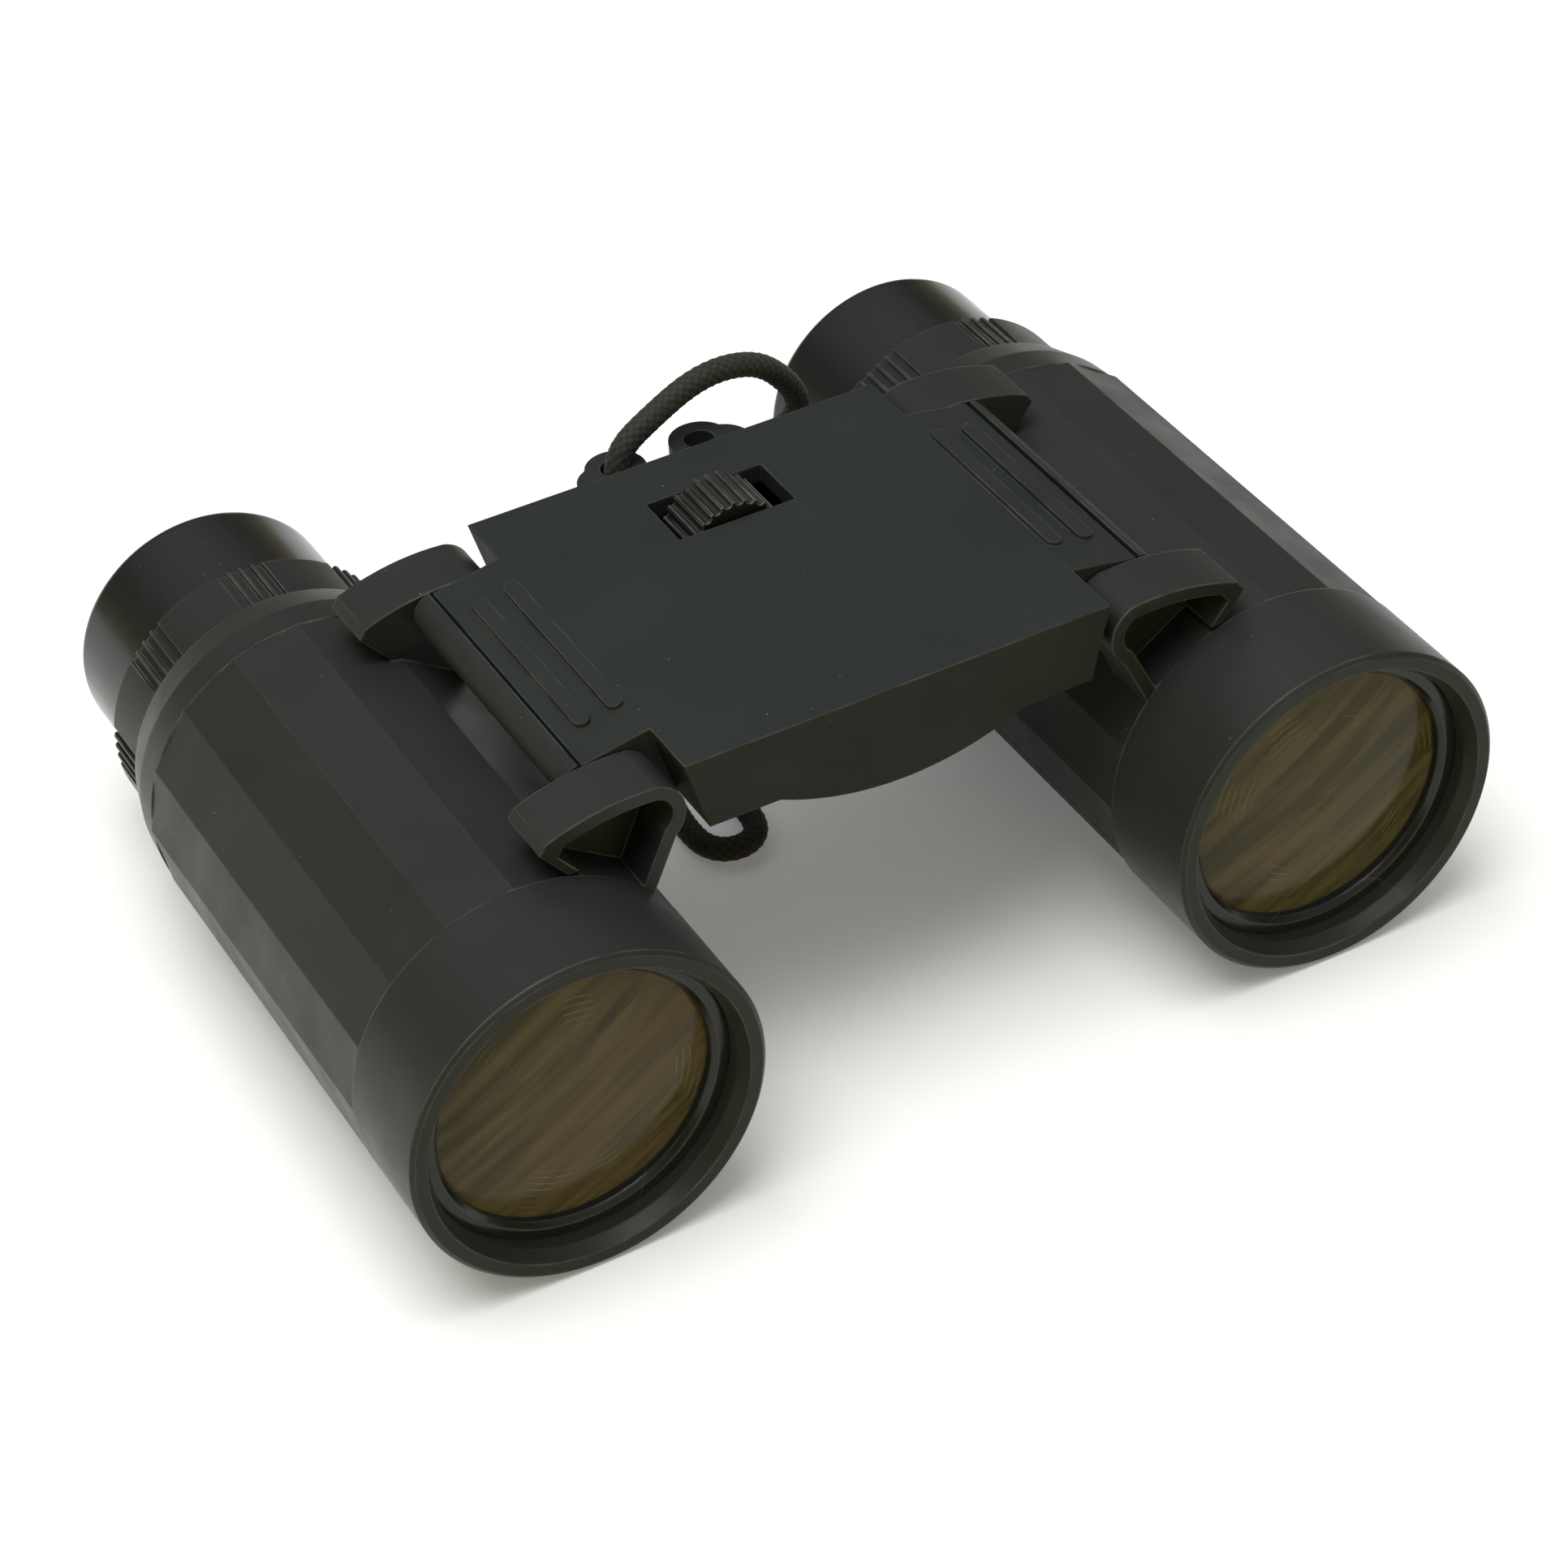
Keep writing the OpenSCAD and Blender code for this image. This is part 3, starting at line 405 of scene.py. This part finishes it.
def tie_twist(outer, high, start):
    """Vertices and faces of the twisted end on top, with the faces counted from start."""
    verts, faces = [], []
    for i in range(TWIST_STEPS + 1):
        f = i / TWIST_STEPS
        radial = outer - TWIST_FROM_MM - TWIST_LENGTH_MM * f
        lift = high + TIE_THICK_MM + TWIST_LIFT_MM + TWIST_BOW_MM * math.sin(math.pi * f)
        for k in range(4):
            b = TWIST_ANGLE * f + math.pi / 2 * k
            reach = TWIST_R_MM * (1.0 if k % 2 == 0 else TWIST_THIN)
            z = lift + TWIST_PRESS * reach * math.sin(b)
            verts.append(tie_point(radial, reach * math.cos(b), z))
    for i in range(TWIST_STEPS):
        for k in range(4):
            a0 = start + 4 * i + k
            b0 = start + 4 * i + (k + 1) % 4
            faces.append([a0, b0, b0 + 4, a0 + 4])
    last = start + 4 * TWIST_STEPS
    faces.append([start, start + 1, start + 2, start + 3])
    faces.append([last + 3, last + 2, last + 1, last])
    return verts, faces


def make_coil_tie():
    """Flat tie with a twisted end round the winding, on the coil's far side."""
    inner = COIL_R_MM - COIL_PITCH_MM * COIL_TURNS / 2 - CORD_D_MM / 2 - TIE_GAP_IN_MM
    outer = COIL_R_MM + CORD_D_MM / 2 + TIE_GAP_OUT_MM
    low = TIE_LOW_MM
    high = LIE_MM + COIL_PITCH_MM + CORD_D_MM / 2 + TIE_GAP_OUT_MM
    middle = ((inner + outer) / 2, (low + high) / 2)
    band_verts, band_faces = tie_band(tie_loop(inner, outer, low, high), middle)
    end_verts, end_faces = tie_twist(outer, high, len(band_verts))
    obj = mesh_object("coil_tie", np.array(band_verts + end_verts) * MM, band_faces + end_faces)
    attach(obj, "bridge")
    return obj


cord, CORD_LINE_MM = make_cord()
knot = make_knot()
tie = make_coil_tie()


def linear(r, g, b):
    """A colour written in 0 to 255 sRGB, as the shader's linear colour."""
    def one(v):
        v /= 255
        return v / 12.92 if v <= 0.04045 else ((v + 0.055) / 1.055) ** 2.4
    return (one(r), one(g), one(b), 1.0)


class Shader:
    """A material under construction, with short names for its nodes."""

    def __init__(self, name):
        self.material = bpy.data.materials.new(name)
        self.material.use_nodes = True
        self.tree = self.material.node_tree
        self.tree.nodes.clear()
        self.out = self.tree.nodes.new("ShaderNodeOutputMaterial")
        self.surface = self.tree.nodes.new("ShaderNodeBsdfPrincipled")
        self.link(self.surface.outputs["BSDF"], self.out.inputs["Surface"])
        self.place = self.tree.nodes.new("ShaderNodeTexCoord").outputs["Object"]

    def link(self, a, b):
        self.tree.links.new(a, b)

    def set(self, **values):
        for key, value in values.items():
            self.surface.inputs[key.replace("_", " ")].default_value = value

    def feed(self, socket, source):
        self.link(source, self.surface.inputs[socket])

    def mapped(self, scale, turn=(0, 0, 0)):
        turned = self.tree.nodes.new("ShaderNodeMapping")
        turned.inputs["Rotation"].default_value = [math.radians(v) for v in turn]
        self.link(self.place, turned.inputs["Vector"])
        node = self.tree.nodes.new("ShaderNodeMapping")
        node.inputs["Scale"].default_value = scale
        self.link(turned.outputs["Vector"], node.inputs["Vector"])
        return node.outputs["Vector"]

    def noise(self, scale, detail=2.0, vector=None, distortion=0.0, rough=0.5):
        node = self.tree.nodes.new("ShaderNodeTexNoise")
        node.inputs["Scale"].default_value = scale
        node.inputs["Detail"].default_value = detail
        node.inputs["Distortion"].default_value = distortion
        node.inputs["Roughness"].default_value = rough
        self.link(vector or self.place, node.inputs["Vector"])
        return node.outputs["Fac"]

    def cells(self, scale):
        node = self.tree.nodes.new("ShaderNodeTexVoronoi")
        node.inputs["Scale"].default_value = scale
        self.link(self.place, node.inputs["Vector"])
        return node.outputs["Distance"]

    def range(self, source, a, b, low=0.0, high=1.0):
        node = self.tree.nodes.new("ShaderNodeMapRange")
        node.inputs["From Min"].default_value = a
        node.inputs["From Max"].default_value = b
        node.inputs["To Min"].default_value = low
        node.inputs["To Max"].default_value = high
        self.link(source, node.inputs["Value"])
        return node.outputs["Result"]

    def math(self, kind, a, b):
        node = self.tree.nodes.new("ShaderNodeMath")
        node.operation = kind
        for socket, value in zip(node.inputs, (a, b)):
            if isinstance(value, (int, float)):
                socket.default_value = value
            else:
                self.link(value, socket)
        return node.outputs["Value"]

    def blend(self, factor, a, b):
        node = self.tree.nodes.new("ShaderNodeMix")
        node.data_type = "RGBA"
        self.link(factor, node.inputs["Factor"])
        for index, value in ((6, a), (7, b)):
            if isinstance(value, tuple):
                node.inputs[index].default_value = value
            else:
                self.link(value, node.inputs[index])
        return node.outputs[2]

    def bump(self, height, distance, strength=1.0, normal=None):
        node = self.tree.nodes.new("ShaderNodeBump")
        node.inputs["Distance"].default_value = distance
        node.inputs["Strength"].default_value = strength
        self.link(height, node.inputs["Height"])
        if normal is not None:
            self.link(normal, node.inputs["Normal"])
        return node.outputs["Normal"]

    def rounded(self, radius):
        node = self.tree.nodes.new("ShaderNodeBevel")
        node.samples = 6
        node.inputs["Radius"].default_value = radius
        return node.outputs["Normal"]

    def edge(self, rounded):
        """From 0 on flat faces to 1 on sharp edges."""
        geometry = self.tree.nodes.new("ShaderNodeNewGeometry")
        node = self.tree.nodes.new("ShaderNodeVectorMath")
        node.operation = "DOT_PRODUCT"
        self.link(rounded, node.inputs[0])
        self.link(geometry.outputs["Normal"], node.inputs[1])
        return self.range(node.outputs["Value"], 0.995, 0.86)

    def arcs(self, middle):
        """Thin rings about the axis of either barrel, in the outer part of its lens."""
        split = self.tree.nodes.new("ShaderNodeSeparateXYZ")
        self.link(self.place, split.inputs["Vector"])
        x = self.math("SUBTRACT", self.math("ABSOLUTE", split.outputs["X"], 0.0), middle[0])
        z = self.math("SUBTRACT", split.outputs["Z"], middle[2])
        square = self.math("ADD", self.math("MULTIPLY", x, x), self.math("MULTIPLY", z, z))
        radius = self.math("SQRT", square, 0.0)
        ring = self.math("SINE", self.math("MULTIPLY", radius, 2 * math.pi / ARC_PITCH), 0.0)
        return self.math("MULTIPLY", self.range(ring, 0.75, 1.0), self.range(radius, *ARC_FROM))

    def hairlines(self, scale, width, share):
        """Thin curved lines along the level of a slow noise, on a share of the surface."""
        level = self.math("ABSOLUTE", self.math("SUBTRACT", self.noise(scale, 1.0), 0.5), 0.0)
        line = self.range(level, width, 0.0)
        spot = self.range(self.noise(scale * 1.7, 0.0), share, share + 0.04)
        return self.math("MULTIPLY", line, spot)


# Radius that softens the edges of the plastic
EDGE_R = 0.0003


def black_plastic(name, colour, rough, grain, gloss, wear_and_edge_highlight=0.5, dust=0.5, lines=0.35):
    """Moulded black plastic: fine grain, pale edges that are partly wear and partly a painted
    highlight, dust specks and hairline scratches.
    """
    m = Shader(name)
    base = linear(*colour)
    deep = tuple(v * 0.92 for v in base[:3]) + (1.0,)
    pale = linear(*[min(255, c * 1.03 + 0.5) for c in colour])
    worn_and_edge_highlight = linear(116, 116, 109)
    speck = linear(150, 148, 138)
    tone = m.blend(m.range(m.noise(70, 3.0), 0.3, 0.7), deep, pale)
    rounded = m.rounded(EDGE_R)
    sharp = m.edge(rounded)
    # Pale edges: partly wear, partly a painted highlight along the sharp edges.
    patch = m.range(m.noise(260, 2.0), 0.35, 0.75, 0.15 * wear_and_edge_highlight, wear_and_edge_highlight)
    edge = m.math("MULTIPLY", sharp, patch)
    tone = m.blend(edge, tone, worn_and_edge_highlight)
    scratch = m.math("MULTIPLY", m.hairlines(42, 0.0022, 0.6), lines)
    tone = m.blend(scratch, tone, worn_and_edge_highlight)
    spot = m.range(m.cells(520), 0.055, 0.03)
    spot = m.math("MULTIPLY", spot, m.range(m.noise(95, 1.0), 0.5, 0.66, 0.0, dust))
    tone = m.blend(spot, tone, speck)
    m.feed("Base Color", tone)
    m.feed("Roughness", m.range(m.noise(160, 3.0), 0.3, 0.7, rough - 0.06, rough + 0.06))
    m.feed("Normal", m.bump(m.noise(3400, 2.0), 0.00002, grain, rounded))
    m.set(Specular_IOR_Level=gloss)
    return m.material


# Slope of the painted reflection streaks on the lenses, in degrees, the spacing of their turning
# marks, and the radii over which these fade in
LENS_TILT = 32
ARC_PITCH = 0.0007
ARC_FROM = (0.007, 0.009)


def lens_with_painted_reflection(name, middle):
    """Front lens in dark olive and brown, its streaks a painted reflection of a wood-grained table,
    with a few fine arcs.
    """
    m = Shader(name)
    dark = linear(69, 66, 49)
    olive = linear(98, 93, 72)
    brown = linear(98, 82, 64)
    # The streaks and the brown patches are a painted reflection of a wood-grained table.
    fine = m.noise(640, 3.0, m.mapped((0.07, 1.0, 1.0), (0, LENS_TILT, 0)), 0.3)
    broad = m.noise(110, 2.0, m.mapped((0.4, 1.0, 1.0), (0, LENS_TILT, 0)), 0.6)
    grain_reflection = m.math("ADD", m.math("MULTIPLY", fine, 0.8), m.math("MULTIPLY", broad, 0.2))
    tone = m.blend(m.range(grain_reflection, 0.4, 0.6), dark, olive)
    tone = m.blend(m.range(broad, 0.5, 0.72, 0.0, 0.5), tone, brown)
    arc = m.math("MULTIPLY", m.arcs(middle), m.range(m.noise(190, 0.0), 0.62, 0.7))
    tone = m.blend(m.math("MULTIPLY", arc, 0.45), tone, linear(150, 146, 128))
    m.feed("Base Color", tone)
    m.feed("Roughness", m.range(grain_reflection, 0.3, 0.7, 0.1, 0.2))
    m.feed("Normal", m.bump(grain_reflection, 0.00001, 0.15))
    m.set(Specular_IOR_Level=0.12, Coat_Weight=0.05, Coat_Roughness=0.05)
    return m.material


def turned_steel(name):
    """Plain steel with fine marks from turning."""
    m = Shader(name)
    turn = m.noise(900, 3.0, m.mapped((1.0, 0.08, 1.0)))
    m.feed("Base Color", m.blend(turn, linear(150, 150, 146), linear(186, 186, 182)))
    m.feed("Roughness", m.range(turn, 0.3, 0.7, 0.24, 0.38))
    m.feed("Normal", m.bump(turn, 0.00002, 0.3))
    m.set(Metallic=1.0)
    return m.material


def braided_fibre(name):
    """Black braided yarn: painted shade in the grooves, by the height of the upper strand, with fine
    fibres on the strands.
    """
    m = Shader(name)
    node = m.tree.nodes.new("ShaderNodeAttribute")
    node.attribute_name = "strand"
    high = m.range(node.outputs["Fac"], 0.1, 0.95)
    fibre = m.noise(5200, 2.0)
    top = m.blend(m.range(fibre, 0.3, 0.7), linear(26, 27, 23), linear(54, 55, 47))
    # Painted shade: near black where the upper strand is low, in the grooves.
    m.feed("Base Color", m.blend(high, linear(4, 4, 3), top))
    m.feed("Roughness", m.range(fibre, 0.2, 0.8, 0.62, 0.85))
    m.feed("Normal", m.bump(fibre, 0.00005, 0.5))
    m.set(Specular_IOR_Level=0.3, Sheen_Weight=0.12, Sheen_Roughness=0.5)
    return m.material


def paint(material, *names):
    """Gives the named nodes one material."""
    for name in names:
        slots = NODES[name].data.materials
        slots.clear()
        slots.append(material)


def both(*names):
    """The names for the left and then for the right side."""
    return [side + name for side in ("left_", "right_") for name in names]


# Each wear value sets the pale edges, partly wear and partly a painted highlight.
BRIDGE = black_plastic("bridge_black", (41, 44, 43), 0.5, 0.35, 0.1, lines=0.0)
BARREL = black_plastic("barrel_black", (39, 41, 40), 0.42, 0.5, 0.21, wear_and_edge_highlight=0.9, lines=0.0)
HOUSING = black_plastic(
    "housing_black", (41, 43, 42), 0.36, 0.25, 0.16, wear_and_edge_highlight=0.9, dust=0.35, lines=0.06
)
GLOSS = black_plastic("gloss_black", (31, 33, 32), 0.17, 0.1, 0.28, dust=0.3, lines=0.12)
WHEEL = black_plastic("wheel_black", (24, 24, 23), 0.3, 0.15, 0.5, wear_and_edge_highlight=1.0)
INNER = black_plastic("inner_black", (18, 18, 17), 0.6, 0.2, 0.3, wear_and_edge_highlight=0.1, dust=0.15, lines=0.0)
LENS = lens_with_painted_reflection("lens", [sum(v) / 2 for v in zip(*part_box("right_objective_lens"))])
STEEL = turned_steel("steel")
BRAID = braided_fibre("braid")

paint(BRIDGE, "bridge_top_cover", "bridge_bottom_cover")
paint(BARREL, *both("barrel_shell"))
paint(HOUSING, *both("objective_cap", "eyepiece_collar", "focus_ring"))
paint(GLOSS, *both("eyecup", "objective_retainer"))
paint(INNER, *both("eyepiece_tube", "eye_lens_retainer"))
paint(WHEEL, "focus_wheel")
paint(LENS, *both("objective_lens", "eye_lens"))
paint(STEEL, "wheel_axle", "bridge_screws", *both("hinge_pin"))
for piece in (cord, knot):
    piece.data.materials.append(BRAID)
tie.data.materials.append(GLOSS)


# Floor: half its side, its drop under the part, its two tones in view, its added white, and its
# colour for bounce light
FLOOR_HALF = 4.0
FLOOR_DROP = 0.0001
FLOOR_LIT = (0.88, 0.88, 0.875, 1.0)
FLOOR_LIT_B = (0.9, 0.9, 0.895, 1.0)
FLOOR_LIFT = 0.12
FLOOR_BOUNCE = (0.12, 0.095, 0.035, 1.0)


def make_floor():
    """Pale floor: white in view and in reflections, and wood in its bounce light."""
    size = FLOOR_HALF
    verts = [(-size, -size, 0), (size, -size, 0), (size, size, 0), (-size, size, 0)]
    floor = mesh_object("floor", verts, [[0, 1, 2, 3]], smooth=False)
    floor.location.z = -FLOOR_DROP
    m = Shader("floor_pale")
    tree = m.tree
    tree.nodes.remove(m.surface)
    path = tree.nodes.new("ShaderNodeLightPath").outputs
    seen = m.math("MAXIMUM", path["Is Camera Ray"], path["Is Glossy Ray"])
    seen = m.math("MAXIMUM", seen, path["Is Transmission Ray"])
    pale = tree.nodes.new("ShaderNodeBsdfDiffuse")
    cloud = m.range(m.noise(6, 2.0), 0.3, 0.7)
    m.link(m.blend(cloud, FLOOR_LIT, FLOOR_LIT_B), pale.inputs["Color"])
    lift = tree.nodes.new("ShaderNodeEmission")
    lift.inputs["Color"].default_value = (1.0, 1.0, 1.0, 1.0)
    lift.inputs["Strength"].default_value = FLOOR_LIFT
    both_parts = tree.nodes.new("ShaderNodeAddShader")
    m.link(pale.outputs["BSDF"], both_parts.inputs[0])
    m.link(lift.outputs["Emission"], both_parts.inputs[1])
    wood = tree.nodes.new("ShaderNodeBsdfDiffuse")
    wood.inputs["Color"].default_value = FLOOR_BOUNCE
    pick = tree.nodes.new("ShaderNodeMixShader")
    m.link(seen, pick.inputs[0])
    m.link(wood.outputs["BSDF"], pick.inputs[1])
    m.link(both_parts.outputs["Shader"], pick.inputs[2])
    m.link(pick.outputs["Shader"], m.out.inputs["Surface"])
    floor.data.materials.append(m.material)


# Light by height, from the horizon to straight up
SKY = [
    (0.0, (0.5, 0.43, 0.24, 1.0)),
    (0.16, (0.2, 0.175, 0.11, 1.0)),
    (0.36, (0.06, 0.06, 0.055, 1.0)),
    (0.6, (0.42, 0.44, 0.435, 1.0)),
    (1.0, (0.8, 0.86, 0.84, 1.0)),
]


def make_world():
    """Cool light overhead, a dark band lower down and a warm horizon."""
    world = bpy.data.worlds.new("studio")
    world.use_nodes = True
    tree = world.node_tree
    back = tree.nodes["Background"]
    place = tree.nodes.new("ShaderNodeTexCoord")
    split = tree.nodes.new("ShaderNodeSeparateXYZ")
    tree.links.new(place.outputs["Generated"], split.inputs["Vector"])
    ramp = tree.nodes.new("ShaderNodeValToRGB")
    tree.links.new(split.outputs["Z"], ramp.inputs["Fac"])
    stops = ramp.color_ramp.elements
    stops[0].position, stops[0].color = SKY[0]
    stops[1].position, stops[1].color = SKY[-1]
    for place_z, colour in SKY[1:-1]:
        stops.new(place_z).color = colour
    tree.links.new(ramp.outputs["Color"], back.inputs["Color"])
    back.inputs["Strength"].default_value = 1.0
    bpy.context.scene.world = world


def make_lamp(name, place, target, size, power, colour, glossy=True):
    """Area lamp aimed at a target, mirrored in shiny faces only where glossy says so."""
    data = bpy.data.lights.new(name, "AREA")
    data.shape = "RECTANGLE"
    data.size, data.size_y = size
    data.energy = power
    data.color = colour
    lamp = bpy.data.objects.new(name, data)
    lamp.location = place
    lamp.rotation_mode = "QUATERNION"
    lamp.rotation_quaternion = (Vector(target) - Vector(place)).to_track_quat("-Z", "Y")
    lamp.visible_glossy = glossy
    bpy.context.scene.collection.objects.link(lamp)


make_floor()
make_world()
make_lamp("key", (-0.22, -0.08, 1.0), (0, 0, 0), (0.7, 0.7), 8.2, (1.0, 1.0, 0.98))
make_lamp("left_low", (-0.7, -0.2, 0.06), (0, 0, 0.01), (0.5, 0.1), 1.4, (1.0, 0.78, 0.22), False)
make_lamp("front_low", (0.1, -0.8, 0.06), (0, 0, 0.01), (0.5, 0.1), 1.4, (1.0, 0.78, 0.2), False)

scene = bpy.context.scene
scene.view_settings.view_transform = "Standard"
